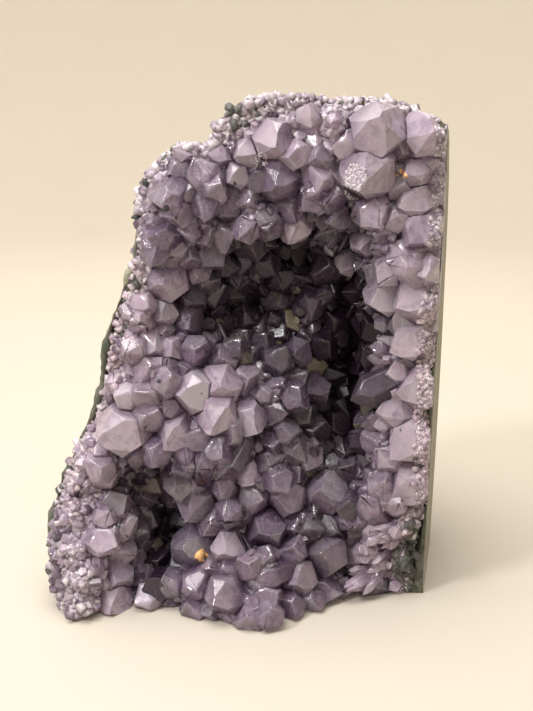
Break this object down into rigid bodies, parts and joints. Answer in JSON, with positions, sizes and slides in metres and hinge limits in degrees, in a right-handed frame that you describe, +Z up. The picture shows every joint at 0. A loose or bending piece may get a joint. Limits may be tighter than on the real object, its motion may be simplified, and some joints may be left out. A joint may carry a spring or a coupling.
{
  "type": "amethyst geode",
  "caption": "Free-standing half geode with a sawn flat base and side: a dark basalt rind, a pale quartz layer and a hollow lined with purple amethyst points.",
  "frame": {"origin": "middle of the overall outline, on the plane of the sawn base", "axes": "+Z up from the sawn base, -Y out of the open crystal side, +X square to the sawn right side"},
  "size_m": [0.1136, 0.094, 0.1495],
  "materials": {
    "basalt": "natural rough grey-green rock, matt; sawn flat and unpolished on the base and the right side",
    "quartz": "sugary pale quartz, slightly translucent",
    "amethyst": "translucent purple quartz with bright natural faces",
    "pale_amethyst": "milky lilac quartz points with bright natural faces"
  },
  "bodies": {
    "root": {"amethyst_bed": "amethyst", "arch_crystal": "pale_amethyst", "basalt_matrix": "basalt", "block_crystal": "pale_amethyst", "block_crystal_top": "pale_amethyst", "bright_crystal": "pale_amethyst", "brow_crystal": "pale_amethyst", "brow_crystal_left": "pale_amethyst", "cheek_crystal": "pale_amethyst", "cheek_crystal_grey": "pale_amethyst", "cheek_crystal_inner": "pale_amethyst", "cheek_crystal_low": "pale_amethyst", "crown_crystal": "pale_amethyst", "cube_crystal": "pale_amethyst", "dark_crystal": "pale_amethyst", "eye_crystal": "pale_amethyst", "eye_crystal_inner": "pale_amethyst", "flake_crystal": "pale_amethyst", "floor_crystal": "pale_amethyst", "floor_crystal_left": "pale_amethyst", "floor_crystal_low": "pale_amethyst", "floor_crystal_violet": "pale_amethyst", "foot_crystal": "pale_amethyst", "foot_crystal_left": "pale_amethyst", "foot_crystal_right": "pale_amethyst", "glass_crystal": "pale_amethyst", "hanging_crystal": "pale_amethyst", "hook_crystal": "pale_amethyst", "lantern_crystal": "pale_amethyst", "lilac_crystal": "pale_amethyst", "lip_crystal": "pale_amethyst", "lobe_crystal": "pale_amethyst", "lobe_crystal_foot": "pale_amethyst", "middle_crystal": "pale_amethyst", "middle_crystal_grey": "pale_amethyst", "middle_crystal_high": "pale_amethyst", "pale_crystal": "pale_amethyst", "pale_lobe_crystal": "pale_amethyst", "pendant_crystal": "pale_amethyst", "pendant_crystal_right": "pale_amethyst", "pocket_crystal": "pale_amethyst", "quartz_layer": "quartz", "ridge_crystal": "pale_amethyst", "rose_crystal": "pale_amethyst", "rose_crystal_low": "pale_amethyst", "shoulder_crystal": "pale_amethyst", "shoulder_crystal_low": "pale_amethyst", "side_crystal": "pale_amethyst", "side_crystal_top": "pale_amethyst", "side_crystal_upper": "pale_amethyst", "smoky_crystal": "pale_amethyst", "top_right_crystal": "pale_amethyst", "wall_crystal": "pale_amethyst", "wall_crystal_inner": "pale_amethyst", "wall_crystal_long": "pale_amethyst", "wall_crystal_low": "pale_amethyst", "window_crystal": "pale_amethyst"}
  },
  "joints": []
}
